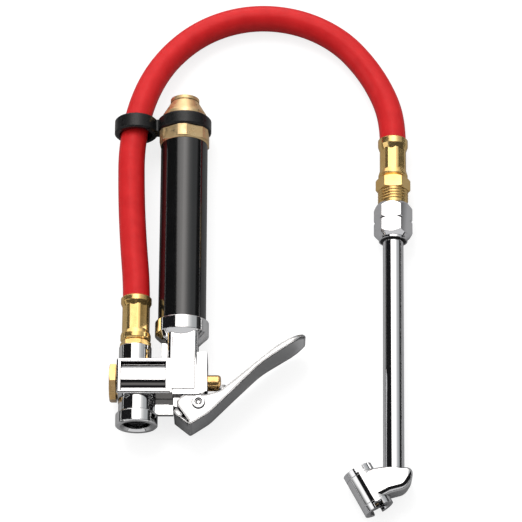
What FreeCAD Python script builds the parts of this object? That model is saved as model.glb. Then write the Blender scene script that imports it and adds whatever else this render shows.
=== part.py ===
import FreeCAD, Part
import math
import os

from FreeCAD import Vector

# Tyre inflator with a slide-out stick gauge, a lever valve, a rubber hose and
# a steel wand with a double-ended chuck, lying flat on a table.
# Millimetres, +Z up off the table, +Y along the gauge barrel, +X towards the wand.

# Named clearances
SLIP = 0.05              # radial play of a fitted round joint
RUN = 0.08               # play on each side of a part that turns or slides
SIDE_PLAY = 0.10         # play between the lever's ears and the lug

# Where the gun and the wand lie
GUN_X = -37.45           # barrel axis
GUN_Y = -41.6            # valve axis
WAND_X = 61.6            # wand axis at the top face of the coupling
WAND_Y = 49.3
WAND_Z = 8.6
WAND_LEAN = 1.1          # degrees that the wand's far end leans towards the gun

# Gauge barrel
BARREL_R = 11.1
BARREL_WALL = 1.8
BARREL_LENGTH = 95.0
BARREL_GASKET = 1.0      # thickness of the gasket under the barrel

# Valve body: collar that holds the barrel
COLLAR_R = 12.45
COLLAR_BASE_Y = 23.0     # where the collar's straight side starts
COLLAR_HEIGHT = 6.1
COLLAR_FLOOR_Y = 24.0    # floor of the barrel's socket
CUP_R = 7.85             # cone under the collar, where it meets the neck
CUP_DROP = 4.6

# Valve body: block, neck and bosses
BLOCK_LEFT = 29.15       # left end of the block from the barrel axis
BLOCK_UP = 8.9
BLOCK_DOWN = 8.1
BLOCK_HALF = 10.0
EDGE_R = 1.0             # cast edges
NECK_LEFT = 6.2
NECK_RIGHT = 7.7
NECK_CORNER = 2.0
PANEL_LEFT = 3.9         # raised panel on the neck
PANEL_RIGHT = 6.3
PANEL_PROUD = 0.4
PANEL_TOP_Y = 19.2
PANEL_BOTTOM_Y = -5.7
NECK_RIB_LEFT = 9.0      # rib on the neck's left side
NECK_RIB_HALF = 3.0
NECK_RIB_TOP_Y = 18.5
FRAME_BORDER = 1.6       # frame round the sunk window of the block
FRAME_SILL = 1.2         # the frame's lower bar
FRAME_MARGIN_X = 1.9
FRAME_NECK_MARGIN = 0.5  # from the window to the neck
BULGE_R = 9.8            # round valve housing that shows in the window
STEP_RIGHT = 12.1        # step on the right that guides the plunger
STEP_TOP_Y = 11.8
STEP_HALF = 9.2
STEP_RELIEF = 1.9        # rise of the bevel under the step, clear of the lever's ears
TAPER_TOP_Y = 12.0       # below this the neck thins down to the lever's ears
OUTLET_X = -21.3
OUTLET_R = 7.5
OUTLET_TOP_Y = 17.0
PORT_X = -20.1
PORT_R = 8.45
PORT_FLANGE_R = 9.65
PORT_FLANGE_Y = -15.0
PORT_MOUTH_Y = -21.0
PORT_BORE_R = 6.25
PORT_BORE_DEPTH = 11.4
PORT_CHAMFER_R = 7.4
WEB_BOTTOM_Y = -15.6     # thin web between the port and the lug
WEB_HALF = 1.25
LUG_LEFT_X = -3.4        # where the web meets the lug

# Valve inside the block, on the valve axis
CHAMBER_R = 5.5
CHAMBER_LENGTH = 10.1
SEAT_R = 3.0
GUIDE_R = 3.7            # radius of the plunger
GUIDE_START_X = 2.0
NECK_BORE_R = 2.0
FEED_R = 1.8             # cross drillings
FEED_SHIFT = 3.9         # drillings stand this far off the port axes

# Valve plug, plunger and poppet
PLUG_AF = 16.4
PLUG_HEAD = 3.1
PLUG_HEX_TURN = 19.0
PLUG_WASHER = 0.4
PLUG_SHANK = 3.2
PLUG_WALL = 1.4
PLUNGER_REACH = 6.1      # length that stands out of the body
PLUNGER_ROUND = 1.5
STEM_R = 1.5
POPPET_R = 4.0
POPPET_THICK = 3.0
POPPET_FACE = 0.8        # rubber face on the seat
SEAL_OUTER_R = 4.7       # ring that seals the plunger in its guide
SEAL_HALF = 0.6
VALVE_WIRE = 0.6
VALVE_TURNS = 5
VALVE_TRAVEL = 3.0

# Lever
PIVOT_X = 8.2
PIVOT_Y = -12.0
PIVOT_R = 2.0
LUG_R = 4.3
LUG_TANGENT = 36.87      # degrees where the lug's sides run into its round end
LUG_HALF = 5.5
EAR_THICK = 2.6
EAR_LIFT_R = 8.0         # bends of the ears' outline
EAR_TOP_R = 1.0
EAR_LEFT_R = 1.8
LEVER_TIP_HALF = 10.4    # half width that the lever grows to, before its tip is rounded
LEVER_TIP_R = 9.8        # round tip seen from above the grip
LEVER_SPREAD = 28.0      # distance from the heel to where the lever starts to widen
LEVER_SPREAD_R = 60.0
WEB_BEND_R = 20.0        # bends of the lever's web, from the heel to the tip
WEB_HUMP_R = 45.0
EDGE_HUMP_R = 40.0       # bends of the side walls' upper edge
EDGE_BEND_R = 3.0
TIP_R = 0.85
TIP_MARGIN = 14.0        # solid tip beyond the channel
CHANNEL_REACH = 12.0     # how far the channel's cut runs past the open side
LEVER_WEB = 2.0
HEEL_WEB = 1.7
HEEL_END_R = 0.4
LEVER_EDGE_R = 1.2
NOSE_AHEAD = 1.25        # rounded nose that pushes the plunger, from the plunger's tip
NOSE_Y = -4.67
NOSE_R = 2.0
SCREW_HEAD_R = 3.0
SCREW_HEAD = 1.2
SCREW_SOCKET_R = 1.8
SCREW_SOCKET_DEPTH = 0.9
NUT_AF = 6.4
NUT_THICK = 2.0

# Barrel cap and hose clip
CAP_SKIRT_R = 11.9
CAP_SKIRT = 0.7
CAP_HEX_AF = 23.0
CAP_HEX_CORNER_R = 12.25
CAP_HEX = 5.8
CAP_HEX_TURN = -3.8
CAP_SEAT_R = 10.45
CAP_SEAT = 9.4
CAP_CONE = 6.8
CAP_NECK_R = 6.6
CAP_RIM_R = 6.9
CAP_RIM = 1.7
CAP_SPIGOT = 6.0
CAP_SPIGOT_WALL = 2.3
CLIP_WALL = 2.3
CLIP_HEIGHT = 6.7
CLIP_LIFT = 0.2
CLIP_LOOP_R = 10.2
CLIP_GAP = 0.2           # space between the outsides of the two loops
CLIP_NECK_HALF = 3.2
CLIP_LOOP_DROP = 0.8     # the hose's loop reaches this far below the cap's
CLIP_EDGE = 0.6

# Gauge inside the barrel
PISTON_REST = 1.6        # piston cup above the barrel's end
CUP_THICK = 2.4
CUP_LIP = 1.4
PISTON_THICK = 6.0
BAR_HALF = 2.5           # square indicator bar
BAR_PROUD = 0.4
GAUGE_WIRE = 1.2
GAUGE_COIL_R = 7.3
GAUGE_TURNS = 11

# Hose, its fittings and its route
HOSE_R = 6.3
HOSE_END_R = 5.3         # hose squeezed under the crimp
HOSE_BORE_R = 3.2
HOSE_GRIP = 16.0         # length of hose end under the crimp
FERRULE_BEAD_R = 7.15
FERRULE_LIP_R = 7.0
CRIMP_AF = 12.3
CRIMP_SIDES = 8
CRIMP_TURN = -8.0
BARB_R = 3.15
BARB_COUNT = 3
BARB_ROOT_R = 2.7        # between two barbs
MOUTH_SHARE = 0.75       # share of a ferrule's bead that the full hose fills
FITTING_BORE_R = 1.9
OUTLET_HEX_AF = 12.65
OUTLET_HEX_TURN = -8.0
OUTLET_HEX = 2.8
OUTLET_STUB = 7.6
OUTLET_STUB_R = 4.9
LOWER_LIP = 4.4
LOWER_CRIMP = 13.7
LOWER_BEAD = 4.5
MALE_HEX_AF = 14.3
MALE_HEX = 6.0
MALE_HEX_TURN = -3.0
MALE_THREAD_R = 6.85
MALE_THREAD_SHOWN = 7.3
MALE_THREAD_HIDDEN = 8.0
UPPER_LIP = 3.5
UPPER_CRIMP = 12.4
UPPER_BEAD = 5.9
MOUTH_RUN = 6.0          # straight hose on each side of a ferrule's mouth

ARC_SHARE = 0.45         # each bend takes this share of the shorter run beside it

# Corner points of the hose's route between its two ferrules
HOSE_ROUTE = [
    (-60.8, 28.6, 12.8),
    (-62.2, 52.0, 12.8),
    (-62.7, 80.5, 12.8),
    (-56.9, 107.8, 10.9),
    (-45.9, 129.1, 7.6),
    (-28.4, 144.8, 6.35),
    (-6.3, 152.0, 6.25),
    (16.8, 150.0, 6.25),
    (37.1, 139.6, 6.3),
    (50.8, 123.4, 6.45),
    (59.5, 105.6, 7.2),
]

# Coupling and wand
COUPLING_AF = 15.9
COUPLING_TURN = -9.5
COUPLING_FACE_R = 7.4    # where the end chamfers start
COUPLING_TOP_CHAMFER = 2.4
COUPLING_FLAT = 15.0
COUPLING_LOW_CHAMFER = 2.4
COLLET_R = 6.75
COLLET = 1.1
GROOVE_Y = -8.8
GROOVE_HALF = 0.8
GROOVE_DEPTH = 0.9
SEAL_RING_R = 6.1
SEAL_RING = 0.9
TUBE_R = 4.85
TUBE_WALL = 1.2
TUBE_TOP_Y = -9.4
CHUCK_TOP_Y = -131.2
TUBE_SOCKET = 7.0

# Double-ended chuck
HEAD_X = -11.5
HEAD_DROP = 9.6          # head's middle below the chuck's top face
HEAD_ANGLE = 29.0        # the front mouth looks down and to the right
HEAD_R = 7.0
HEAD_HALF = 7.0          # from the head's middle to each end face
CHUCK_HALF = 6.9         # half thickness of the flat casting, a little under the round head
CHUCK_EDGE_R = 2.8
CHUCK_SIDE_X = 8.35      # right side of the casting
CHUCK_SIDE = 5.0         # its straight stretch
CHUCK_BELLY_X = 5.2
CHUCK_BELLY = 10.2
CHUCK_SHOULDER_X = -5.4  # left end of the top face
CHUCK_SHOULDER = 5.6     # the casting's reach across the head at its rear and front ends
CHUCK_CHIN = 7.3
CHUCK_TOP_R = 2.6
CHUCK_SIDE_R = 7.0
CHUCK_BELLY_R = 6.0
CHUCK_SHOULDER_R = 2.0
CHUCK_CHIN_R = 1.2
RING_R = 7.03
RING_HEIGHT = 3.3
RING_BORE_R = 4.4
RING_MOUTH_R = 4.9
RING_SHANK_R = 5.3
RING_SHANK = 2.6
RING_SLOT = 4.0
RING_SLOT_DEPTH = 2.3
RING_SHOULDER = 1.3      # the bore narrows this far above the shank's end and keeps the washer
WASHER_THICK = 1.2
WASHER_BORE_R = 1.6
WASHER_BOSS_R = 4.75
CAVITY_R = 3.6
PIN_R = 1.1
PIN_FLANGE_R = 3.0
PIN_FLANGE = 1.0
PIN_REACH = 5.6          # pin tip from the head's middle
CHUCK_WIRE = 0.35
CHUCK_COIL_R = 2.0
CHUCK_TURNS = 4

# Fineness of the springs, which are hidden
COIL_STEPS = 12
WIRE_SIDES = 6

# Worked-out sizes
BARREL_BASE_Y = COLLAR_FLOOR_Y + BARREL_GASKET
BARREL_TOP_Y = BARREL_BASE_Y + BARREL_LENGTH
BORE_R = BARREL_R - BARREL_WALL
CAP_HEX_Y = BARREL_TOP_Y + CAP_SKIRT
CAP_SEAT_Y = CAP_HEX_Y + CAP_HEX
CAP_CONE_Y = CAP_SEAT_Y + CAP_SEAT
CAP_RIM_Y = CAP_CONE_Y + CAP_CONE
CAP_TOP_Y = CAP_RIM_Y + CAP_RIM
CLIP_R = CAP_SEAT_R + SLIP + CLIP_WALL
GUN_Z = CLIP_R
LOOP_X = -(CLIP_R + CLIP_GAP + CLIP_LOOP_R)
EAR_INNER = LUG_HALF + SIDE_PLAY
EAR_OUTER = EAR_INNER + EAR_THICK
CUP_Y = BARREL_BASE_Y + PISTON_REST
PISTON_Y = CUP_Y + CUP_THICK
BAR_Y = PISTON_Y + PISTON_THICK
SEAT_X = -BLOCK_LEFT + CHAMBER_LENGTH
PLUNGER_TIP_X = STEP_RIGHT + PLUNGER_REACH
NOSE_X = PLUNGER_TIP_X + NOSE_AHEAD
LOWER_FERRULE_Y = OUTLET_TOP_Y + OUTLET_HEX
LOWER_MOUTH_Y = LOWER_FERRULE_Y + LOWER_LIP + LOWER_CRIMP + LOWER_BEAD
UPPER_FERRULE_Y = MALE_THREAD_SHOWN + MALE_HEX
UPPER_MOUTH_Y = UPPER_FERRULE_Y + UPPER_LIP + UPPER_CRIMP + UPPER_BEAD
HEAD_Y = CHUCK_TOP_Y - HEAD_DROP
SHANK_END = HEAD_HALF - RING_SHANK
CAVITY_HALF = SHANK_END - WASHER_THICK

UP = Vector(0, 1, 0)
OFF_TABLE = Vector(0, 0, 1)
RIGHT = Vector(1, 0, 0)


def cylinder(radius, start, end):
    start = Vector(*start)
    run = Vector(*end) - start
    return Part.makeCylinder(radius, run.Length, start, run)


def block(x0, x1, y0, y1, z0, z1):
    return Part.makeBox(x1 - x0, y1 - y0, z1 - z0, Vector(x0, y0, z0))


def turned(profile, x=0.0):
    """Solid turned about a line parallel to Y; the profile holds (radius, y) pairs."""
    points = [Vector(r, y, 0) for r, y in profile]
    face = Part.Face(Part.makePolygon(points + points[:1]))
    solid = face.revolve(Vector(0, 0, 0), UP, 360)
    solid.translate(Vector(x, 0, 0))
    return solid


def prism_y(across_flats, sides, y0, y1, turn=0.0, x=0.0):
    """Regular prism along Y with one flat facing +Z before it is turned."""
    corner_r = across_flats / 2 / math.cos(math.pi / sides)
    points = []
    for i in range(sides):
        a = math.radians(turn) + math.pi * (2 * i + 1) / sides
        points.append(Vector(x + corner_r * math.sin(a), y0, corner_r * math.cos(a)))
    face = Part.Face(Part.makePolygon(points + points[:1]))
    return face.extrude(Vector(0, y1 - y0, 0))


def rounded_wire(corners):
    """Closed wire in the XY plane through (x, y, radius) corners, each rounded by an arc."""
    spots = [Vector(x, y, 0) for x, y, _ in corners]
    radii = [r for _, _, r in corners]
    count = len(spots)
    ends = []
    for i in range(count):
        before = (spots[i - 1] - spots[i]).normalize()
        after = (spots[(i + 1) % count] - spots[i]).normalize()
        half = before.getAngle(after) / 2
        setback = radii[i] / math.tan(half)
        middle = (before + after).normalize() * (radii[i] / math.sin(half) - radii[i])
        ends.append((spots[i] + before * setback, spots[i] + middle, spots[i] + after * setback))
    edges = []
    for i in range(count):
        start, middle, stop = ends[i]
        if radii[i] > 0:
            edges.append(Part.Arc(start, middle, stop).toShape())
        edges.append(Part.LineSegment(stop, ends[(i + 1) % count][0]).toShape())
    return Part.Wire(edges)


def plate(corners, z0, z1):
    """Flat piece with rounded corners, from z0 to z1."""
    face = Part.Face(rounded_wire(corners))
    face.translate(Vector(0, 0, z0))
    return face.extrude(Vector(0, 0, z1 - z0))


def offset_line(points, distance):
    """The open line through the points, moved sideways to its left."""
    spots = [Vector(x, y, 0) for x, y in points]
    rays = []
    for a, b in zip(spots, spots[1:]):
        way = (b - a).normalize()
        side = Vector(-way.y, way.x, 0) * distance
        rays.append((a + side, way))
    moved = [rays[0][0]]
    for (p, d), (q, e) in zip(rays, rays[1:]):
        gap = q - p
        moved.append(p + d * ((gap.x * e.y - gap.y * e.x) / (d.x * e.y - d.y * e.x)))
    last_side = rays[-1][0] - spots[-2]
    moved.append(spots[-1] + last_side)
    return [(p.x, p.y) for p in moved]


def rounded_edges(shape, radius, wanted):
    """The shape with every edge rounded whose middle point passes the test."""
    picked = [e for e in shape.Edges if wanted(e.valueAt((e.FirstParameter + e.LastParameter) / 2), e)]
    return shape.makeFillet(radius, picked)


def chamfered(round_solid, width):
    """A cylinder with both its rims broken."""
    return round_solid.makeChamfer(width, [e for e in round_solid.Edges if e.Closed])


def coil(radius, wire_r, turns, length):
    """Open-coiled spring along +Y from the origin, with its wire's centre at the radius.

    The wire runs in short mitred lengths, which keeps a hidden spring light.
    """
    steps = COIL_STEPS * turns
    path = []
    for i in range(steps + 1):
        a = 2 * math.pi * i / COIL_STEPS
        path.append(Vector(radius * math.cos(a), length * i / steps, -radius * math.sin(a)))
    rim = []
    for i in range(WIRE_SIDES + 1):
        a = 2 * math.pi * i / WIRE_SIDES
        rim.append(Vector(radius + wire_r * math.cos(a), wire_r * math.sin(a), 0))
    section = Part.makePolygon(rim)
    return Part.Wire(Part.makePolygon(path).Edges).makePipeShell([section], True, False, 1)


def gun(shape):
    """Place a piece that is modelled from the barrel axis and the valve axis."""
    placed = shape.copy()
    placed.translate(Vector(GUN_X, GUN_Y, GUN_Z))
    return placed


def wand(shape):
    """Place a piece that is modelled from the wand axis and the coupling's top face."""
    placed = shape.copy()
    placed.rotate(Vector(0, 0, 0), OFF_TABLE, -WAND_LEAN)
    placed.translate(Vector(WAND_X, WAND_Y, WAND_Z))
    return placed


def head(shape):
    """Turn a piece modelled along +Y into the chuck's head, its +Y end at the front mouth."""
    placed = shape.copy()
    placed.rotate(Vector(0, 0, 0), OFF_TABLE, 180 + HEAD_ANGLE)
    placed.translate(Vector(HEAD_X, HEAD_Y, 0))
    return wand(placed)


def flipped(shape):
    """The same piece at the rear end of the head."""
    turned_round = shape.copy()
    turned_round.rotate(Vector(0, 0, 0), OFF_TABLE, 180)
    return turned_round


def body_block():
    box = block(-BLOCK_LEFT, -PANEL_LEFT, -BLOCK_DOWN, BLOCK_UP, -BLOCK_HALF, BLOCK_HALF)
    return rounded_edges(box, EDGE_R, lambda p, e: p.x < -PANEL_LEFT - EDGE_R)


def body_window(side):
    """Sunk window of the block, which leaves the round valve housing standing in its frame."""
    z0, z1 = sorted((side * BULGE_R / 2, side * (BLOCK_HALF + EDGE_R)))
    sunk = block(-BLOCK_LEFT + FRAME_MARGIN_X, -NECK_LEFT - FRAME_NECK_MARGIN,
                 -BLOCK_DOWN + FRAME_SILL, BLOCK_UP - FRAME_BORDER, z0, z1)
    housing = cylinder(BULGE_R, (-BLOCK_LEFT, 0, 0), (0, 0, 0))
    return sunk.cut(housing)


def body_neck():
    top = COLLAR_BASE_Y
    column = block(-NECK_LEFT, NECK_RIGHT, -BLOCK_DOWN, top, -BLOCK_HALF, BLOCK_HALF)
    upright = lambda p, e: abs(e.tangentAt(e.FirstParameter).y) > 0.99
    column = rounded_edges(column, NECK_CORNER, upright)
    rib = block(-NECK_RIB_LEFT, 0, 0, NECK_RIB_TOP_Y, -NECK_RIB_HALF, NECK_RIB_HALF)
    return column.fuse(rib)


def tapered(x0, x1, y0, y1, proud):
    """Slab across the neck whose two faces follow the neck's taper, proud of it by the given height."""
    fall = (BLOCK_HALF - EAR_OUTER) / (TAPER_TOP_Y + BLOCK_DOWN)
    low = BLOCK_HALF + proud - (TAPER_TOP_Y - y0) * fall
    high = BLOCK_HALF + proud
    section = [(y0, low), (TAPER_TOP_Y, high), (y1, high), (y1, -high), (TAPER_TOP_Y, -high), (y0, -low)]
    points = [Vector(x0, y, z) for y, z in section]
    return Part.Face(Part.makePolygon(points + points[:1])).extrude(Vector(x1 - x0, 0, 0))


def body_collar():
    return turned([
        (0, COLLAR_BASE_Y - CUP_DROP),
        (CUP_R, COLLAR_BASE_Y - CUP_DROP),
        (COLLAR_R, COLLAR_BASE_Y),
        (COLLAR_R, COLLAR_BASE_Y + COLLAR_HEIGHT),
        (0, COLLAR_BASE_Y + COLLAR_HEIGHT),
    ])


def body_step():
    """Step on the neck's right that guides the plunger, with a bevel under it."""
    step = block(0, STEP_RIGHT, -BLOCK_DOWN, STEP_TOP_Y, -STEP_HALF, STEP_HALF)
    step = rounded_edges(step, EDGE_R / 2, lambda p, e: p.x > STEP_RIGHT - EDGE_R and p.y > 0)
    bevel = plate([
        (PIVOT_X, -BLOCK_DOWN, 0),
        (STEP_RIGHT + EDGE_R, -BLOCK_DOWN - EDGE_R, 0),
        (STEP_RIGHT + EDGE_R, -BLOCK_DOWN + STEP_RELIEF, 0),
    ], -BLOCK_HALF, BLOCK_HALF)
    return step.cut(bevel)


def body_front():
    """Neck, step and panel, thinned together towards the lever's ears."""
    column = body_neck().fuse(body_step())
    thinned = column.common(tapered(-PANEL_LEFT, STEP_RIGHT, -BLOCK_DOWN, COLLAR_BASE_Y, 0))
    left_side = block(-NECK_RIB_LEFT, -PANEL_LEFT, -BLOCK_DOWN, COLLAR_BASE_Y, -BLOCK_HALF, BLOCK_HALF)
    panel = tapered(-PANEL_LEFT, PANEL_RIGHT, PANEL_BOTTOM_Y, PANEL_TOP_Y, PANEL_PROUD)
    return thinned.fuse([column.common(left_side), panel])


def body_lug():
    """Tongue between the lever's ears, round about the pivot."""
    side = LUG_R * math.cos(math.radians(LUG_TANGENT))
    fall = LUG_R * math.sin(math.radians(LUG_TANGENT))
    tongue = plate([
        (LUG_LEFT_X, -BLOCK_DOWN + EDGE_R, 0),
        (LUG_LEFT_X, PIVOT_Y - EDGE_R, EDGE_R),
        (PIVOT_X - fall, PIVOT_Y - side, 0),
        (PIVOT_X, PIVOT_Y, 0),
        (PIVOT_X + side, PIVOT_Y + fall, 0),
        (STEP_RIGHT - EDGE_R, -BLOCK_DOWN + EDGE_R, 0),
    ], -LUG_HALF, LUG_HALF)
    disc = cylinder(LUG_R, (PIVOT_X, PIVOT_Y, -LUG_HALF), (PIVOT_X, PIVOT_Y, LUG_HALF))
    return tongue.fuse(disc)


def body_port():
    boss = cylinder(PORT_R, (PORT_X, 0, 0), (PORT_X, PORT_FLANGE_Y, 0))
    bead = EDGE_R / 2
    flange = turned([
        (0, PORT_MOUTH_Y),
        (PORT_FLANGE_R - bead, PORT_MOUTH_Y),
        (PORT_FLANGE_R, PORT_MOUTH_Y + bead),
        (PORT_FLANGE_R, PORT_FLANGE_Y - bead),
        (PORT_FLANGE_R - bead, PORT_FLANGE_Y),
        (0, PORT_FLANGE_Y),
    ], PORT_X)
    return boss.fuse(flange)


def body_passages():
    """Every bore of the valve body."""
    chamfer = PORT_CHAMFER_R - PORT_BORE_R
    bore_end = PORT_MOUTH_Y + PORT_BORE_DEPTH
    port = turned([
        (0, PORT_MOUTH_Y - EDGE_R),
        (PORT_CHAMFER_R, PORT_MOUTH_Y - EDGE_R),
        (PORT_CHAMFER_R, PORT_MOUTH_Y),
        (PORT_BORE_R, PORT_MOUTH_Y + chamfer),
        (PORT_BORE_R, bore_end),
        (0, bore_end),
    ], PORT_X)
    stub_end = OUTLET_TOP_Y - OUTLET_STUB - SLIP
    outlet = cylinder(OUTLET_STUB_R + SLIP, (OUTLET_X, OUTLET_TOP_Y, 0), (OUTLET_X, stub_end, 0))
    feed_in = cylinder(FEED_R, (PORT_X - FEED_SHIFT, bore_end - EDGE_R, 0), (PORT_X - FEED_SHIFT, 0, 0))
    feed_x = SEAT_X + FEED_R + EDGE_R
    feed_out = cylinder(FEED_R, (feed_x, stub_end + EDGE_R, 0), (feed_x, 0, 0))
    chamber = cylinder(CHAMBER_R, (-BLOCK_LEFT, 0, 0), (SEAT_X, 0, 0))
    seat_bore = cylinder(SEAT_R, (SEAT_X, 0, 0), (GUIDE_START_X, 0, 0))
    guide = cylinder(GUIDE_R + RUN, (GUIDE_START_X - VALVE_TRAVEL, 0, 0), (STEP_RIGHT, 0, 0))
    neck = cylinder(NECK_BORE_R, (0, 0, 0), (0, COLLAR_FLOOR_Y, 0))
    socket = cylinder(BARREL_R + SLIP, (0, COLLAR_FLOOR_Y, 0), (0, COLLAR_BASE_Y + COLLAR_HEIGHT, 0))
    pivot = cylinder(PIVOT_R + SLIP, (PIVOT_X, PIVOT_Y, -LUG_HALF), (PIVOT_X, PIVOT_Y, LUG_HALF))
    groove = seal_ring(GUIDE_R, SEAL_OUTER_R)
    return [port, outlet, feed_in, feed_out, chamber, seat_bore, guide, neck, socket, pivot, groove]


def seal_ring(inner_r, outer_r):
    """Square ring round the plunger, at the middle of its guide."""
    middle_x = (GUIDE_START_X + STEP_RIGHT) / 2
    ends = ((middle_x - SEAL_HALF, 0, 0), (middle_x + SEAL_HALF, 0, 0))
    return cylinder(outer_r, *ends).cut(cylinder(inner_r, *ends))


def valve_body():
    web = block(PORT_X, LUG_LEFT_X, WEB_BOTTOM_Y, 0, -WEB_HALF, WEB_HALF)
    outlet = cylinder(OUTLET_R, (OUTLET_X, 0, 0), (OUTLET_X, OUTLET_TOP_Y, 0))
    solid = body_block().fuse([body_front(), body_collar(), body_lug(), body_port(), outlet, web])
    return cut_all(solid, [body_window(1), body_window(-1)] + body_passages())


def cut_all(solid, tools):
    for tool in tools:
        solid = solid.cut(tool)
    return solid.removeSplitter()


def barrel_gasket():
    outer = cylinder(BARREL_R, (0, COLLAR_FLOOR_Y, 0), (0, BARREL_BASE_Y, 0))
    return outer.cut(cylinder(BORE_R, (0, COLLAR_FLOOR_Y, 0), (0, BARREL_BASE_Y, 0)))


def gauge_barrel():
    outer = cylinder(BARREL_R, (0, BARREL_BASE_Y, 0), (0, BARREL_TOP_Y, 0))
    return outer.cut(cylinder(BORE_R, (0, BARREL_BASE_Y, 0), (0, BARREL_TOP_Y, 0)))


def barrel_cap():
    """Brass cap: spigot, hexagon with turned corners, seat for the clip, cone and rim."""
    spigot_r = BORE_R - SLIP
    shape = turned([
        (0, BARREL_TOP_Y - CAP_SPIGOT),
        (spigot_r, BARREL_TOP_Y - CAP_SPIGOT),
        (spigot_r, BARREL_TOP_Y),
        (BARREL_R, BARREL_TOP_Y),
        (CAP_SKIRT_R, CAP_HEX_Y),
        (CAP_HEX_CORNER_R, CAP_HEX_Y),
        (CAP_HEX_CORNER_R, CAP_SEAT_Y),
        (CAP_SEAT_R, CAP_SEAT_Y),
        (CAP_SEAT_R, CAP_CONE_Y),
        (CAP_NECK_R, CAP_RIM_Y),
        (CAP_RIM_R, CAP_RIM_Y),
        (CAP_RIM_R, CAP_TOP_Y),
        (0, CAP_TOP_Y),
    ])
    flats = prism_y(CAP_HEX_AF, 6, BARREL_TOP_Y - CAP_SPIGOT, CAP_TOP_Y, CAP_HEX_TURN + 30)
    shape = shape.common(flats)
    hollow = cylinder(spigot_r - CAP_SPIGOT_WALL, (0, BARREL_TOP_Y - CAP_SPIGOT, 0), (0, BARREL_TOP_Y, 0))
    slot = BAR_HALF + RUN
    bar_hole = block(-slot, slot, BARREL_TOP_Y - CAP_SPIGOT, CAP_TOP_Y, -slot, slot)
    return cut_all(shape, [hollow, bar_hole])


def hose_clip():
    """Two joined rubber loops: one on the cap's seat, one round the hose."""
    y0 = CAP_SEAT_Y + CLIP_LIFT
    y1 = y0 + CLIP_HEIGHT
    loop_y0 = y0 - CLIP_LOOP_DROP
    big = chamfered(cylinder(CLIP_R, (0, y0, 0), (0, y1, 0)), CLIP_EDGE)
    small = chamfered(cylinder(CLIP_LOOP_R, (LOOP_X, loop_y0, 0), (LOOP_X, y1, 0)), CLIP_EDGE)
    middle_x = -CLIP_R - CLIP_GAP / 2
    bridge = block(middle_x - CLIP_WALL / 2, middle_x + CLIP_WALL / 2, y0, y1 - CLIP_EDGE,
                   -CLIP_NECK_HALF, CLIP_NECK_HALF)
    clip = big.fuse([small, bridge])
    inner_big = cylinder(CLIP_R - CLIP_WALL, (0, y0, 0), (0, y1, 0))
    inner_small = cylinder(CLIP_LOOP_R - CLIP_WALL, (LOOP_X, loop_y0, 0), (LOOP_X, y1, 0))
    return cut_all(clip, [inner_big, inner_small])


def piston_cup():
    lip_y = CUP_Y - CUP_LIP + SLIP
    return turned([
        (0, CUP_Y),
        (BORE_R - RUN - CUP_LIP, CUP_Y),
        (BORE_R - RUN - CUP_LIP, lip_y),
        (BORE_R - RUN, lip_y),
        (BORE_R - RUN, PISTON_Y),
        (0, PISTON_Y),
    ])


def gauge_piston():
    spring_seat = GAUGE_COIL_R - GAUGE_WIRE
    return turned([
        (0, PISTON_Y),
        (BORE_R - RUN, PISTON_Y),
        (BORE_R - RUN, PISTON_Y + PISTON_THICK / 2),
        (spring_seat, PISTON_Y + PISTON_THICK / 2),
        (spring_seat, BAR_Y),
        (0, BAR_Y),
    ])


def gauge_spring():
    wire_r = GAUGE_WIRE / 2
    low = PISTON_Y + PISTON_THICK / 2 + wire_r
    high = BARREL_TOP_Y - CAP_SPIGOT - wire_r
    spring = coil(GAUGE_COIL_R, wire_r, GAUGE_TURNS, high - low)
    spring.translate(Vector(0, low, 0))
    return spring


def indicator_bar():
    bar = block(-BAR_HALF, BAR_HALF, BAR_Y, CAP_TOP_Y + BAR_PROUD, -BAR_HALF, BAR_HALF)
    return bar.makeChamfer(BAR_PROUD, [e for e in bar.Edges if e.CenterOfMass.y > CAP_TOP_Y])


def valve_plug():
    """Hexagon plug with a hollow shank that holds the valve spring."""
    head_x = -BLOCK_LEFT - PLUG_WASHER
    corner_r = PLUG_AF / 2 / math.cos(math.pi / 6)
    hexagon = prism_y(PLUG_AF, 6, 0, PLUG_HEAD, PLUG_HEX_TURN)
    crown = turned([
        (0, 0),
        (corner_r, 0),
        (corner_r, PLUG_HEAD - EDGE_R / 2),
        (PLUG_AF / 2, PLUG_HEAD),
        (0, PLUG_HEAD),
    ])
    shank = cylinder(CHAMBER_R - SLIP, (0, -PLUG_SHANK - PLUG_WASHER, 0), (0, 0, 0))
    hollow = cylinder(CHAMBER_R - PLUG_WALL, (0, -PLUG_SHANK - PLUG_WASHER, 0), (0, PLUG_HEAD / 2, 0))
    plug = hexagon.common(crown).fuse(shank).cut(hollow)
    plug.rotate(Vector(0, 0, 0), OFF_TABLE, 90)
    plug.translate(Vector(head_x, 0, 0))
    return plug


def plug_washer():
    outer = cylinder(CHAMBER_R + EDGE_R, (-BLOCK_LEFT - PLUG_WASHER, 0, 0), (-BLOCK_LEFT, 0, 0))
    return outer.cut(cylinder(CHAMBER_R, (-BLOCK_LEFT - PLUG_WASHER, 0, 0), (-BLOCK_LEFT, 0, 0)))


def valve_poppet():
    """Poppet that stands on its seat, with its rubber face as a ring towards the seat."""
    return cylinder(POPPET_R, (SEAT_X - POPPET_THICK, 0, 0), (SEAT_X - POPPET_FACE, 0, 0))


def poppet_face():
    face = cylinder(POPPET_R, (SEAT_X - POPPET_FACE, 0, 0), (SEAT_X - SLIP, 0, 0))
    return face.cut(cylinder(STEM_R, (SEAT_X - POPPET_FACE, 0, 0), (SEAT_X, 0, 0)))


def valve_spring():
    wire_r = VALVE_WIRE / 2
    left = -BLOCK_LEFT - PLUG_WASHER - PLUG_HEAD / 2 + wire_r
    right = SEAT_X - POPPET_THICK - wire_r
    spring = coil(POPPET_R / 2, wire_r, VALVE_TURNS, right - left)
    spring.rotate(Vector(0, 0, 0), OFF_TABLE, -90)
    spring.translate(Vector(left, 0, 0))
    return spring


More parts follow.
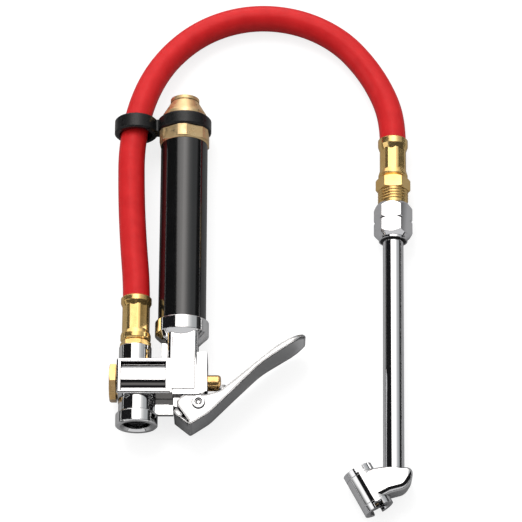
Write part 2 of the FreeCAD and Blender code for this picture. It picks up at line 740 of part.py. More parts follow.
def plunger():
    """Brass button with its stem, turned in one piece."""
    tip = turned([
        (0, 0),
        (STEM_R, 0),
        (STEM_R, GUIDE_START_X - SEAT_X + POPPET_FACE),
        (GUIDE_R, GUIDE_START_X - SEAT_X + POPPET_FACE),
        (GUIDE_R, PLUNGER_TIP_X - SEAT_X + POPPET_FACE),
        (0, PLUNGER_TIP_X - SEAT_X + POPPET_FACE),
    ])
    end_y = PLUNGER_TIP_X - SEAT_X + POPPET_FACE
    tip = rounded_edges(tip, PLUNGER_ROUND, lambda p, e: e.Closed and abs(p.y - end_y) < SLIP)
    tip.rotate(Vector(0, 0, 0), OFF_TABLE, -90)
    tip.translate(Vector(SEAT_X - POPPET_FACE, 0, 0))
    return tip


def plunger_seal():
    return seal_ring(GUIDE_R + SLIP, SEAL_OUTER_R)


# Outer line of the lever's web from its heel to its tip, and the upper edge back again
HEEL = (4.2, -22.8)
WEB_BEND = (13.0, -17.0)
WEB_HUMP = (36.5, 6.9)
TIP_LOW = (57.4, 20.7)
TIP_HIGH = (56.2, 22.1)
EDGE_HUMP = (43.8, 15.1)
EDGE_BEND = (18.0, -6.4)
EAR_TOP = (11.5, -8.45)
EAR_LEFT_TOP = (1.4, -8.45)
EAR_LEFT = (-1.7, -11.2)
EAR_LEFT_LOW = (-1.3, -13.8)
HEEL_LEFT_TOP = (-1.8, -14.7)
HEEL_LEFT = (-3.2, -16.8)

# Slit between the near ear and the heel
HEEL_SLIT = [(-2.4, -14.2), (-1.2, -13.6), (4.3, -21.3), (3.4, -21.4), (0.4, -18.8),
             (1.1, -17.9), (-1.7, -14.7)]


def lever_profile():
    return [
        HEEL + (LEVER_EDGE_R,), WEB_BEND + (WEB_BEND_R,), WEB_HUMP + (WEB_HUMP_R,), TIP_LOW + (TIP_R,),
        TIP_HIGH + (TIP_R,), EDGE_HUMP + (EDGE_HUMP_R,), EDGE_BEND + (EDGE_BEND_R,), EAR_TOP + (EAR_LIFT_R,),
        EAR_LEFT_TOP + (EAR_TOP_R,), EAR_LEFT + (EAR_LEFT_R,), EAR_LEFT_LOW + (0,), HEEL_LEFT_TOP + (0,),
        HEEL_LEFT + (HEEL_END_R,),
    ]


def lever_channel():
    """Space inside the channel, open towards the gun."""
    inner = offset_line([HEEL_LEFT, HEEL], HEEL_WEB)
    web = offset_line([HEEL, WEB_BEND, WEB_HUMP, TIP_LOW], LEVER_WEB)
    a = inner[0]
    tip = web[-1]
    way = Vector(TIP_LOW[0] - WEB_HUMP[0], TIP_LOW[1] - WEB_HUMP[1], 0).normalize()
    end = (tip[0] - way.x * TIP_MARGIN, tip[1] - way.y * TIP_MARGIN)
    corner = crossing(inner, web[:2])
    return plate([
        (a[0] - HEEL_WEB, a[1] + HEEL_WEB, 0), corner + (EDGE_R / 2,), web[1] + (WEB_BEND_R - LEVER_WEB,),
        web[2] + (WEB_HUMP_R + LEVER_WEB,), end + (EDGE_R,),
        (end[0] - CHANNEL_REACH * way.y, end[1] + CHANNEL_REACH * way.x, 0),
        (EDGE_BEND[0] - CHANNEL_REACH, EDGE_BEND[1] + CHANNEL_REACH, 0),
        (EAR_LEFT[0] - CHANNEL_REACH, EAR_LEFT[1] + CHANNEL_REACH, 0),
    ], -EAR_INNER, EAR_INNER)


def crossing(line_a, line_b):
    """The point where two straight lines meet."""
    (ax, ay), (bx, by) = line_a
    (cx, cy), (dx, dy) = line_b
    ux, uy = bx - ax, by - ay
    vx, vy = dx - cx, dy - cy
    k = ((cx - ax) * vy - (cy - ay) * vx) / (ux * vy - uy * vx)
    return (ax + ux * k, ay + uy * k)


def lever_plan():
    """Plan of the lever seen square to its grip: wider and rounded at the tip."""
    slope = math.atan2(TIP_LOW[1] - HEEL[1], TIP_LOW[0] - HEEL[0])
    length = math.hypot(TIP_LOW[0] - HEEL[0], TIP_LOW[1] - HEEL[1]) + EDGE_R
    back = -CHANNEL_REACH
    outline = plate([
        (back, -EAR_OUTER, 0), (LEVER_SPREAD, -EAR_OUTER, LEVER_SPREAD_R),
        (length, -LEVER_TIP_HALF, LEVER_TIP_R), (length, LEVER_TIP_HALF, LEVER_TIP_R),
        (LEVER_SPREAD, EAR_OUTER, LEVER_SPREAD_R), (back, EAR_OUTER, 0),
    ], -length, length)
    outline.rotate(Vector(0, 0, 0), RIGHT, 90)
    outline.rotate(Vector(0, 0, 0), OFF_TABLE, math.degrees(slope))
    outline.translate(Vector(HEEL[0], HEEL[1], 0))
    return outline


def lever():
    """Die-cast lever: a curved channel with two ears, a stop at its heel and a nose inside."""
    side = plate(lever_profile(), -LEVER_TIP_HALF - EDGE_R, LEVER_TIP_HALF + EDGE_R)
    solid = side.common(lever_plan())
    solid = solid.cut(lever_channel())
    foot = [offset_line([WEB_BEND, WEB_HUMP], LEVER_WEB / 2)[i] for i in (0, 1)]
    way = Vector(foot[1][0] - foot[0][0], foot[1][1] - foot[0][1], 0).normalize()
    root = crossing(foot, [(NOSE_X, NOSE_Y), (NOSE_X + way.y, NOSE_Y - way.x)])
    nose = plate([
        (NOSE_X - way.x * NOSE_R, NOSE_Y - way.y * NOSE_R, 0),
        (root[0] - way.x * NOSE_R, root[1] - way.y * NOSE_R, 0),
        (root[0] + way.x * NOSE_R, root[1] + way.y * NOSE_R, 0),
        (NOSE_X + way.x * NOSE_R, NOSE_Y + way.y * NOSE_R, 0),
    ], -EAR_INNER, EAR_INNER)
    roll = cylinder(NOSE_R, (NOSE_X, NOSE_Y, -EAR_INNER), (NOSE_X, NOSE_Y, EAR_INNER))
    solid = solid.fuse([nose, roll])
    slit = plate([point + (0,) for point in HEEL_SLIT], EAR_INNER - EDGE_R, EAR_OUTER + EDGE_R)
    hole = cylinder(PIVOT_R + RUN, (PIVOT_X, PIVOT_Y, -EAR_OUTER), (PIVOT_X, PIVOT_Y, EAR_OUTER))
    return cut_all(solid, [slit, hole])


def lever_screw():
    top = EAR_OUTER + RUN
    shank = cylinder(PIVOT_R, (PIVOT_X, PIVOT_Y, -EAR_OUTER - RUN - NUT_THICK), (PIVOT_X, PIVOT_Y, top))
    cap = cylinder(SCREW_HEAD_R, (PIVOT_X, PIVOT_Y, top), (PIVOT_X, PIVOT_Y, top + SCREW_HEAD))
    cap = cap.makeChamfer(SCREW_HEAD / 4, [e for e in cap.Edges if e.Closed and e.CenterOfMass.z > top])
    socket = cylinder(SCREW_SOCKET_R, (PIVOT_X, PIVOT_Y, top + SCREW_HEAD - SCREW_SOCKET_DEPTH),
                      (PIVOT_X, PIVOT_Y, top + SCREW_HEAD))
    return shank.fuse(cap).cut(socket)


def lever_nut():
    top = -EAR_OUTER - RUN
    nut = prism_y(NUT_AF, 6, 0, NUT_THICK)
    nut = nut.cut(cylinder(PIVOT_R + SLIP, (0, 0, 0), (0, NUT_THICK, 0)))
    nut.rotate(Vector(0, 0, 0), RIGHT, -90)
    nut.translate(Vector(PIVOT_X, PIVOT_Y, top))
    return nut


def barbed_tail(y0, length):
    """Profile points of a barbed hose tail that starts at y0."""
    step = length / BARB_COUNT
    points = []
    for i in range(BARB_COUNT):
        points.append((BARB_R, y0 + i * step))
        points.append((BARB_R, y0 + i * step))
        points.append((BARB_ROOT_R, y0 + (i + 1) * step))
    return points


def hose_tail(y0, length):
    return turned([(0, y0)] + barbed_tail(y0, length) + [(0, y0 + length)])


def hexagon_nut(across_flats, y0, y1, turn):
    """Hexagon with its corners turned down at both ends."""
    corner_r = across_flats / 2 / math.cos(math.pi / 6)
    crown = (corner_r - across_flats / 2) / 2
    barrel = turned([
        (0, y0),
        (across_flats / 2, y0),
        (corner_r, y0 + crown),
        (corner_r, y1 - crown),
        (across_flats / 2, y1),
        (0, y1),
    ])
    return prism_y(across_flats, 6, y0, y1, turn).common(barrel)


def outlet_fitting():
    stub = cylinder(OUTLET_STUB_R, (0, OUTLET_TOP_Y - OUTLET_STUB, 0), (0, OUTLET_TOP_Y, 0))
    hexagon = hexagon_nut(OUTLET_HEX_AF, OUTLET_TOP_Y, LOWER_FERRULE_Y, OUTLET_HEX_TURN)
    tail = hose_tail(LOWER_FERRULE_Y, HOSE_GRIP)
    bore = cylinder(FITTING_BORE_R, (0, OUTLET_TOP_Y - OUTLET_STUB, 0), (0, LOWER_FERRULE_Y + HOSE_GRIP, 0))
    fitting = stub.fuse([hexagon, tail]).cut(bore)
    fitting.translate(Vector(OUTLET_X, 0, 0))
    return fitting


def male_fitting():
    low = -MALE_THREAD_HIDDEN
    thread = cylinder(MALE_THREAD_R, (0, low, 0), (0, MALE_THREAD_SHOWN, 0))
    hexagon = hexagon_nut(MALE_HEX_AF, MALE_THREAD_SHOWN, UPPER_FERRULE_Y, MALE_HEX_TURN)
    tail = hose_tail(UPPER_FERRULE_Y, HOSE_GRIP)
    bore = cylinder(FITTING_BORE_R, (0, low, 0), (0, UPPER_FERRULE_Y + HOSE_GRIP, 0))
    return thread.fuse([hexagon, tail]).cut(bore)


def ferrule(y0, lip, crimp, bead, turn):
    """Crimped sleeve: rounded lip, eight pressed flats and a round bead at the hose's mouth."""
    y1 = y0 + lip
    y2 = y1 + crimp
    y3 = y2 + bead
    crimp_r = CRIMP_AF / 2
    soft = bead / 4
    skin = turned([
        (0, y0),
        (FERRULE_LIP_R - soft, y0),
        (FERRULE_LIP_R, y0 + soft),
        (FERRULE_LIP_R, y1 - soft),
        (crimp_r, y1 + soft),
        (crimp_r, y2 - soft),
        (FERRULE_BEAD_R, y2 + soft),
        (FERRULE_BEAD_R, y3 - soft),
        (FERRULE_BEAD_R - soft, y3),
        (0, y3),
    ])
    corner_r = crimp_r / math.cos(math.pi / CRIMP_SIDES)
    flats = prism_y(CRIMP_AF, CRIMP_SIDES, y1, y2, turn)
    flats = flats.common(cylinder((crimp_r + corner_r) / 2, (0, y1, 0), (0, y2, 0)))
    sleeve = skin.fuse(flats)
    grip = cylinder(HOSE_END_R + SLIP, (0, y0, 0), (0, y3, 0))
    mouth = cylinder(HOSE_R + SLIP, (0, y3 - mouth_depth(bead), 0), (0, y3, 0))
    return cut_all(sleeve, [grip, mouth])


def mouth_depth(bead):
    """How far the full hose reaches into a ferrule's bead."""
    return bead * MOUTH_SHARE


def lower_ferrule():
    sleeve = ferrule(LOWER_FERRULE_Y, LOWER_LIP, LOWER_CRIMP, LOWER_BEAD, CRIMP_TURN)
    sleeve.translate(Vector(OUTLET_X, 0, 0))
    return sleeve


def upper_ferrule():
    return ferrule(UPPER_FERRULE_Y, UPPER_LIP, UPPER_CRIMP, UPPER_BEAD, CRIMP_TURN)


def wand_point(x, y):
    lean = math.radians(-WAND_LEAN)
    return Vector(WAND_X + x * math.cos(lean) - y * math.sin(lean),
                  WAND_Y + x * math.sin(lean) + y * math.cos(lean), WAND_Z)


def hose_points():
    """Corner points of the whole route, from inside one ferrule's bead to inside the other's."""
    low_in = mouth_depth(LOWER_BEAD)
    high_in = mouth_depth(UPPER_BEAD)
    start = [Vector(GUN_X + OUTLET_X, GUN_Y + LOWER_MOUTH_Y - low_in, GUN_Z),
             Vector(GUN_X + OUTLET_X, GUN_Y + LOWER_MOUTH_Y + MOUTH_RUN, GUN_Z)]
    stop = [wand_point(0, UPPER_MOUTH_Y + MOUTH_RUN), wand_point(0, UPPER_MOUTH_Y - high_in)]
    return start + [Vector(*p) for p in HOSE_ROUTE] + stop


def hose_path(points):
    """Straight runs joined by tangent arcs, each as large as its two runs allow."""
    edges = []
    here = points[0]
    radii = []
    for before, corner, after in zip(points, points[1:], points[2:]):
        back = before - corner
        on = after - corner
        shorter = min(back.Length, on.Length)
        setback = ARC_SHARE * shorter
        back.normalize()
        on.normalize()
        half = back.getAngle(on) / 2
        radius = setback * math.tan(half)
        radii.append(radius)
        middle = (back + on).normalize() * (radius / math.sin(half) - radius)
        arc_start = corner + back * setback
        arc_stop = corner + on * setback
        edges.append(Part.LineSegment(here, arc_start).toShape())
        edges.append(Part.Arc(arc_start, corner + middle, arc_stop).toShape())
        here = arc_stop
    edges.append(Part.LineSegment(here, points[-1]).toShape())
    return Part.Wire(edges), radii


def hose():
    points = hose_points()
    path, radii = hose_path(points)
    first = (points[1] - points[0]).normalize()
    last = (points[-1] - points[-2]).normalize()
    section = Part.Wire(Part.makeCircle(HOSE_R, points[0], first))
    tube = path.makePipeShell([section], True, False)
    print("hose arc radii", [round(r, 1) for r in radii])
    print("hose volume", round(tube.Volume), "section x length", round(math.pi * HOSE_R ** 2 * path.Length))
    low_grip = LOWER_MOUTH_Y - mouth_depth(LOWER_BEAD) - LOWER_FERRULE_Y
    high_grip = UPPER_MOUTH_Y - mouth_depth(UPPER_BEAD) - UPPER_FERRULE_Y
    low_end = Part.makeCylinder(HOSE_END_R, low_grip, points[0], first * -1)
    high_end = Part.makeCylinder(HOSE_END_R, high_grip, points[-1], last)
    tube = tube.fuse([low_end, high_end])
    low_bore = Part.makeCylinder(HOSE_BORE_R, HOSE_GRIP, points[0] - first * low_grip, first)
    high_bore = Part.makeCylinder(HOSE_BORE_R, HOSE_GRIP, points[-1] + last * high_grip, last * -1)
    print("hose length", round(path.Length + low_grip + high_grip, 1))
    return tube.cut(low_bore).cut(high_bore)


def coupling():
    """Chrome coupling: hexagon with an identification groove, end chamfers and a round collar."""
    corner_r = COUPLING_AF / 2 / math.cos(math.pi / 6)
    end_y = -COUPLING_FLAT - COUPLING_LOW_CHAMFER
    skin = turned([
        (0, 0),
        (COUPLING_FACE_R, 0),
        (corner_r, -COUPLING_TOP_CHAMFER),
        (corner_r, GROOVE_Y + GROOVE_HALF),
        (corner_r - GROOVE_DEPTH, GROOVE_Y),
        (corner_r, GROOVE_Y - GROOVE_HALF),
        (corner_r, -COUPLING_FLAT),
        (COLLET_R, end_y),
        (COLLET_R, end_y - COLLET),
        (0, end_y - COLLET),
    ])
    shape = prism_y(COUPLING_AF, 6, end_y - COLLET, 0, COUPLING_TURN).common(skin)
    thread = cylinder(MALE_THREAD_R + SLIP, (0, 0, 0), (0, -MALE_THREAD_HIDDEN, 0))
    seat = cylinder(TUBE_R + SLIP, (0, -MALE_THREAD_HIDDEN, 0), (0, end_y - COLLET, 0))
    recess = cylinder(SEAL_RING_R, (0, end_y - COLLET + SEAL_RING, 0), (0, end_y - COLLET, 0))
    return cut_all(shape, [thread, seat, recess])


def wand_seal():
    low = -COUPLING_FLAT - COUPLING_LOW_CHAMFER - COLLET
    outer = cylinder(SEAL_RING_R - SLIP, (0, low, 0), (0, low + SEAL_RING, 0))
    return outer.cut(cylinder(TUBE_R + SLIP, (0, low, 0), (0, low + SEAL_RING, 0)))


def wand_tube():
    low = CHUCK_TOP_Y - TUBE_SOCKET
    outer = cylinder(TUBE_R, (0, low, 0), (0, TUBE_TOP_Y, 0))
    return outer.cut(cylinder(TUBE_R - TUBE_WALL, (0, low, 0), (0, TUBE_TOP_Y, 0)))


def head_point(along, across):
    """Point of the wand's own plane, along the head's axis and across it."""
    a = math.radians(HEAD_ANGLE)
    return (HEAD_X + along * math.sin(a) + across * math.cos(a),
            HEAD_Y - along * math.cos(a) + across * math.sin(a))


def chuck_body():
    """Flat-faced casting with a thick rounded rim, joined to the round head."""
    outline = [
        head_point(-HEAD_HALF, 0) + (0,),
        head_point(-HEAD_HALF, CHUCK_SHOULDER) + (CHUCK_CHIN_R,),
        (CHUCK_SHOULDER_X, CHUCK_TOP_Y, CHUCK_SHOULDER_R),
        (CHUCK_SIDE_X, CHUCK_TOP_Y, CHUCK_TOP_R),
        (CHUCK_SIDE_X, CHUCK_TOP_Y - CHUCK_SIDE, CHUCK_SIDE_R),
        (CHUCK_BELLY_X, CHUCK_TOP_Y - CHUCK_BELLY, CHUCK_BELLY_R),
        head_point(HEAD_HALF, CHUCK_CHIN) + (CHUCK_CHIN_R,),
        head_point(HEAD_HALF, 0) + (0,),
    ]
    slab = plate(outline, -CHUCK_HALF, CHUCK_HALF)
    rim = lambda p, e: (abs(abs(p.z) - CHUCK_HALF) < SLIP and p.y < CHUCK_TOP_Y - EDGE_R
                        and (p.x > 0 or p.y < HEAD_Y - CHUCK_CHIN_R))
    slab = rounded_edges(slab, CHUCK_EDGE_R, rim)
    barrel = cylinder(HEAD_R, head_point(-HEAD_HALF, 0) + (0,), head_point(HEAD_HALF, 0) + (0,))
    body = slab.fuse(barrel)
    seat = RING_SHANK + WASHER_THICK
    tools = [
        cylinder(RING_SHANK_R + SLIP, head_point(HEAD_HALF, 0) + (0,), head_point(HEAD_HALF - seat, 0) + (0,)),
        cylinder(RING_SHANK_R + SLIP, head_point(-HEAD_HALF, 0) + (0,), head_point(seat - HEAD_HALF, 0) + (0,)),
        cylinder(CAVITY_R, head_point(-HEAD_HALF, 0) + (0,), head_point(HEAD_HALF, 0) + (0,)),
        cylinder(TUBE_R + SLIP, (0, CHUCK_TOP_Y, 0), (0, CHUCK_TOP_Y - TUBE_SOCKET, 0)),
        cylinder(FEED_R, (HEAD_X, HEAD_Y, 0), (0, CHUCK_TOP_Y - TUBE_SOCKET + FEED_R, 0)),
    ]
    return cut_all(body, tools)


def chuck_ring():
    """Slotted retaining ring with its shank, along +Y at the front end."""
    ring = turned([
        (0, SHANK_END),
        (RING_SHANK_R, SHANK_END),
        (RING_SHANK_R, HEAD_HALF),
        (RING_R, HEAD_HALF),
        (RING_R, HEAD_HALF + RING_HEIGHT),
        (0, HEAD_HALF + RING_HEIGHT),
    ])
    top = HEAD_HALF + RING_HEIGHT
    slot_floor = top - RING_SLOT_DEPTH
    bore = turned([
        (0, SHANK_END),
        (WASHER_BOSS_R + SLIP, SHANK_END),
        (WASHER_BOSS_R + SLIP, SHANK_END + RING_SHOULDER),
        (RING_BORE_R, SHANK_END + RING_SHOULDER),
        (RING_BORE_R, slot_floor),
        (RING_MOUTH_R, top),
        (0, top),
    ])
    slot = block(-RING_SLOT / 2, RING_SLOT / 2, slot_floor, top, -RING_R, RING_R)
    return cut_all(ring, [bore, slot])


def chuck_washer():
    """Rubber washer with a raised boss that the tyre valve presses on."""
    face = SHANK_END + RING_SHOULDER - RUN
    return turned([
        (WASHER_BORE_R, CAVITY_HALF),
        (RING_SHANK_R, CAVITY_HALF),
        (RING_SHANK_R, SHANK_END),
        (WASHER_BOSS_R, SHANK_END),
        (WASHER_BOSS_R, face),
        (WASHER_BORE_R, face),
    ])


def chuck_pin():
    """Pin that presses the tyre valve's core, held behind the washer by its flange."""
    back = CAVITY_HALF - SLIP
    return turned([
        (0, back - PIN_FLANGE),
        (PIN_FLANGE_R, back - PIN_FLANGE),
        (PIN_FLANGE_R, back),
        (PIN_R, back),
        (PIN_R, PIN_REACH),
        (0, PIN_REACH),
    ])


def chuck_spring():
    half = CAVITY_HALF - SLIP - PIN_FLANGE - CHUCK_WIRE
    spring = coil(CHUCK_COIL_R, CHUCK_WIRE / 2, CHUCK_TURNS, 2 * half)
    spring.translate(Vector(0, -half, 0))
    return spring


GUN_PIECES = {
    "valve_body": valve_body,
    "barrel_gasket": barrel_gasket,
    "gauge_barrel": gauge_barrel,
    "barrel_cap": barrel_cap,
    "hose_clip": hose_clip,
    "piston_cup": piston_cup,
    "gauge_piston": gauge_piston,
    "gauge_spring": gauge_spring,
    "indicator_bar": indicator_bar,
    "valve_plug": valve_plug,
    "plug_washer": plug_washer,
    "valve_poppet": valve_poppet,
    "poppet_face": poppet_face,
    "valve_spring": valve_spring,
    "plunger": plunger,
    "plunger_seal": plunger_seal,
    "lever": lever,
    "lever_screw": lever_screw,
    "lever_nut": lever_nut,
    "outlet_fitting": outlet_fitting,
    "lower_ferrule": lower_ferrule,
}

WAND_PIECES = {
    "upper_ferrule": upper_ferrule,
    "male_fitting": male_fitting,
    "coupling": coupling,
    "wand_seal": wand_seal,
    "wand_tube": wand_tube,
}

HEAD_PIECES = {
    "front_ring": chuck_ring,
    "front_washer": chuck_washer,
    "front_pin": chuck_pin,
}


def build():
    pieces = {}
    for name, make in GUN_PIECES.items():
        pieces[name] = gun(make())
    for name, make in WAND_PIECES.items():
        pieces[name] = wand(make())
    pieces["chuck_body"] = wand(chuck_body())
    for name, make in HEAD_PIECES.items():
        pieces[name] = head(make())
        pieces[name.replace("front", "rear")] = head(flipped(make()))
    pieces["chuck_spring"] = head(chuck_spring())
    pieces["hose"] = hose()
    return pieces


os.makedirs("parts", exist_ok=True)
for name, shape in build().items():
    shape.exportStep("parts/" + name + ".step")
    print(name, "solids", len(shape.Solids), "valid", shape.isValid(), "volume", round(shape.Volume, 1))
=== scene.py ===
import math

import bmesh
import bpy
from mathutils import Matrix, Vector


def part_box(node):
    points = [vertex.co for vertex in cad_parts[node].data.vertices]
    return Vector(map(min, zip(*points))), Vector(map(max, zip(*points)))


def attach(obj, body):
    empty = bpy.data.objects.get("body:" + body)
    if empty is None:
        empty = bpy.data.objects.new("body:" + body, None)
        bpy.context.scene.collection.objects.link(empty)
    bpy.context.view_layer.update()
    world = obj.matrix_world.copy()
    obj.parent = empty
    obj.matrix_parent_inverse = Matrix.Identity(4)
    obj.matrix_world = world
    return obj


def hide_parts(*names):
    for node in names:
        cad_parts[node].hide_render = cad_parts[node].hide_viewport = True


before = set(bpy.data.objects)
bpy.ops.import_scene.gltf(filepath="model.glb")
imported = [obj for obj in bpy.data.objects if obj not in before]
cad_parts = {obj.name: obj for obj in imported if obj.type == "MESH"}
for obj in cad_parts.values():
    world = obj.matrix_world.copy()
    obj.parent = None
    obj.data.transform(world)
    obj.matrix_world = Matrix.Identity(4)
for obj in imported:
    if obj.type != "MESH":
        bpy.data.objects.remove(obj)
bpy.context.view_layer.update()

mm = 0.001  # the scene is in metres


# Small helpers for objects and nodes

def addObject(name, data):
    thing = bpy.data.objects.new(name, data)
    bpy.context.scene.collection.objects.link(thing)
    return thing


def feed(tree, socket, value):
    if isinstance(value, bpy.types.NodeSocket):
        tree.links.new(value, socket)
    else:
        socket.default_value = value


def calc(tree, operation, first, second=0.0, clamp=False):
    node = tree.nodes.new("ShaderNodeMath")
    node.operation = operation
    node.use_clamp = clamp
    feed(tree, node.inputs[0], first)
    feed(tree, node.inputs[1], second)
    return node.outputs[0]


def vectorCalc(tree, operation, vector, partner=None):
    node = tree.nodes.new("ShaderNodeVectorMath")
    node.operation = operation
    feed(tree, node.inputs[0], vector)
    if partner is not None:
        feed(tree, node.inputs[1], partner)
    return node.outputs["Value"]


def spread(tree, source, low, high, start=0.0, stop=1.0):
    node = tree.nodes.new("ShaderNodeMapRange")
    tree.links.new(source, node.inputs["Value"])
    feed(tree, node.inputs["From Min"], start)
    feed(tree, node.inputs["From Max"], stop)
    feed(tree, node.inputs["To Min"], low)
    feed(tree, node.inputs["To Max"], high)
    return node.outputs[0]


def ramp(tree, source, stops):
    node = tree.nodes.new("ShaderNodeValToRGB")
    elements = node.color_ramp.elements
    while len(elements) < len(stops):
        elements.new(1.0)
    for element, (place, shade) in zip(elements, stops):
        element.position = place
        element.color = (shade, shade, shade, 1.0)
    tree.links.new(source, node.inputs[0])
    return node.outputs[0]


def mixShades(tree, mask, first, second):
    node = tree.nodes.new("ShaderNodeMix")
    node.data_type = "RGBA"
    tree.links.new(mask, node.inputs["Factor"])
    for label, shade in (("A", first), ("B", second)):
        feed(tree, node.inputs[label], (*shade, 1.0) if isinstance(shade, tuple) else shade)
    return node.outputs["Result"]


# Node groups that several finishes share

sharedSettings = {
    "noiseLow": 0.3,  # the part of the noise's range that a speckle is stretched from
    "noiseHigh": 0.7,
    "edgeSamples": 6,
    "edgeFull": 0.93,  # the bent normal against the plain one, at a full edge and at none; the edge mask paints dark reflections along rims
    "edgeFlat": 0.995,
    "hollowSamples": 8,
}


def newGroup(name, inputs, outputs):
    group = bpy.data.node_groups.new(name, "ShaderNodeTree")
    for label, value in inputs.items():
        socket = group.interface.new_socket(label, in_out="INPUT", socket_type="NodeSocketFloat")
        socket.default_value = value
    for label, kind in outputs.items():
        group.interface.new_socket(label, in_out="OUTPUT", socket_type=kind)
    return group, group.nodes.new("NodeGroupInput"), group.nodes.new("NodeGroupOutput")


def buildSpeckle():
    group, entry, leave = newGroup(
        "speckle",
        {"Scale": 400.0, "Detail": 3.0, "Low": 0.0, "High": 1.0},
        {"Value": "NodeSocketFloat", "Height": "NodeSocketFloat"},
    )
    where = group.nodes.new("ShaderNodeTexCoord")
    noise = group.nodes.new("ShaderNodeTexNoise")
    group.links.new(where.outputs["Object"], noise.inputs["Vector"])
    group.links.new(entry.outputs["Scale"], noise.inputs["Scale"])
    group.links.new(entry.outputs["Detail"], noise.inputs["Detail"])
    level = spread(group, noise.outputs[0], entry.outputs["Low"], entry.outputs["High"],
                   sharedSettings["noiseLow"], sharedSettings["noiseHigh"])
    group.links.new(level, leave.inputs["Value"])
    group.links.new(noise.outputs[0], leave.inputs["Height"])
    return group


def buildToolMarks():
    # fine lines across the tool's length, as turning leaves them on pieces that lie along it
    group, entry, leave = newGroup(
        "toolMarks", {"Lines": 3000.0, "Wander": 0.3}, {"Height": "NodeSocketFloat"},
    )
    where = group.nodes.new("ShaderNodeTexCoord")
    parts = group.nodes.new("ShaderNodeSeparateXYZ")
    group.links.new(where.outputs["Object"], parts.inputs[0])
    noise = group.nodes.new("ShaderNodeTexNoise")
    noise.noise_dimensions = "1D"
    group.links.new(parts.outputs["Y"], noise.inputs["W"])
    group.links.new(entry.outputs["Lines"], noise.inputs["Scale"])
    group.links.new(entry.outputs["Wander"], noise.inputs["Roughness"])
    group.links.new(noise.outputs[0], leave.inputs["Height"])
    return group


def buildSoftEdge():
    group, entry, leave = newGroup(
        "softEdge", {"Radius": 0.3 * mm}, {"Normal": "NodeSocketVector", "Edge": "NodeSocketFloat"},
    )
    bevel = group.nodes.new("ShaderNodeBevel")
    bevel.samples = sharedSettings["edgeSamples"]
    group.links.new(entry.outputs["Radius"], bevel.inputs["Radius"])
    plain = group.nodes.new("ShaderNodeNewGeometry")
    bend = vectorCalc(group, "DOT_PRODUCT", bevel.outputs["Normal"], plain.outputs["Normal"])
    edge = spread(group, bend, 1.0, 0.0, sharedSettings["edgeFull"], sharedSettings["edgeFlat"])
    group.links.new(bevel.outputs["Normal"], leave.inputs["Normal"])
    group.links.new(edge, leave.inputs["Edge"])
    return group


def buildCrevice():
    # ambient occlusion mask: where it is low, the finishes paint shade into their base colour
    group, entry, leave = newGroup(
        "crevice", {"Reach": 0.8 * mm, "From": 0.5, "To": 0.9}, {"Open": "NodeSocketFloat"},
    )
    hollow = group.nodes.new("ShaderNodeAmbientOcclusion")
    hollow.samples = sharedSettings["hollowSamples"]
    group.links.new(entry.outputs["Reach"], hollow.inputs["Distance"])
    clear = spread(group, hollow.outputs["AO"], 0.0, 1.0, entry.outputs["From"], entry.outputs["To"])
    group.links.new(clear, leave.inputs["Open"])
    return group


shared = {
    "speckle": buildSpeckle(),
    "toolMarks": buildToolMarks(),
    "softEdge": buildSoftEdge(),
    "crevice": buildCrevice(),
}
print("node groups ready")


# Finishes

wear = {
    "chromeClear": 0.6,  # shares of a finish's roughness, where it is clearest and dullest
    "chromeDull": 1.5,
    "brassClear": 0.7,
    "brassDull": 1.4,
    "brassDullScale": 3,  # times the scale of the colour's patches
    "rubberDullScale": 0.3,  # times the scale of the grain
    "rippleDetail": 1.0,  # how much fine noise each pattern has
    "brassDetail": 4.0,
    "rubberDetail": 5.0,
    "grainDetail": 2.0,
}


def useGroup(tree, name, **values):
    node = tree.nodes.new("ShaderNodeGroup")
    node.node_tree = shared[name]
    for label, value in values.items():
        node.inputs[label].default_value = value
    return node


def startFinish(name, colour, metallic, roughness):
    finish = bpy.data.materials.new(name)
    finish.use_nodes = True
    tree = finish.node_tree
    shader = tree.nodes["Principled BSDF"]
    shader.inputs["Base Color"].default_value = (*colour, 1.0)
    shader.inputs["Metallic"].default_value = metallic
    shader.inputs["Roughness"].default_value = roughness
    return finish, tree, shader


def addBump(tree, shader, height, depth, normal):
    bump = tree.nodes.new("ShaderNodeBump")
    bump.inputs["Distance"].default_value = depth
    tree.links.new(height, bump.inputs["Height"])
    tree.links.new(normal, bump.inputs["Normal"])
    tree.links.new(bump.outputs["Normal"], shader.inputs["Normal"])


def tint(tree, shader, mask, dark, light):
    tree.links.new(mixShades(tree, mask, dark, light), shader.inputs["Base Color"])


def chromeFinish(name, settings):
    roughness = settings["roughness"]
    finish, tree, shader = startFinish(name, settings["colour"], 1.0, roughness)
    edge = useGroup(tree, "softEdge", Radius=settings["edge"])
    patches = useGroup(tree, "speckle", Scale=settings["patchScale"],
                       Low=roughness * wear["chromeClear"], High=roughness * wear["chromeDull"])
    tree.links.new(patches.outputs["Value"], shader.inputs["Roughness"])
    # painted shade: the base colour is darkened in hollows and between parts, where ambient occlusion
    # finds them
    corner = useGroup(tree, "crevice", Reach=settings["reach"])
    unpaintedShare = corner.outputs["Open"]
    if "paintedRimLine" in settings:  # painted reflection: dark lines along the rims, where a polished casting's rounded edges reflect the dark room
        rim = useGroup(tree, "softEdge", Radius=settings["paintedRimLine"])
        unpaintedShare = calc(tree, "MULTIPLY", unpaintedShare, calc(tree, "SUBTRACT", 1.0, rim.outputs["Edge"]))
    tint(tree, shader, unpaintedShare, settings["paintedDark"], settings["colour"])
    ripple = useGroup(tree, "speckle", Scale=settings["rippleScale"], Detail=wear["rippleDetail"])
    addBump(tree, shader, ripple.outputs["Height"], settings["rippleDepth"], edge.outputs["Normal"])
    return finish


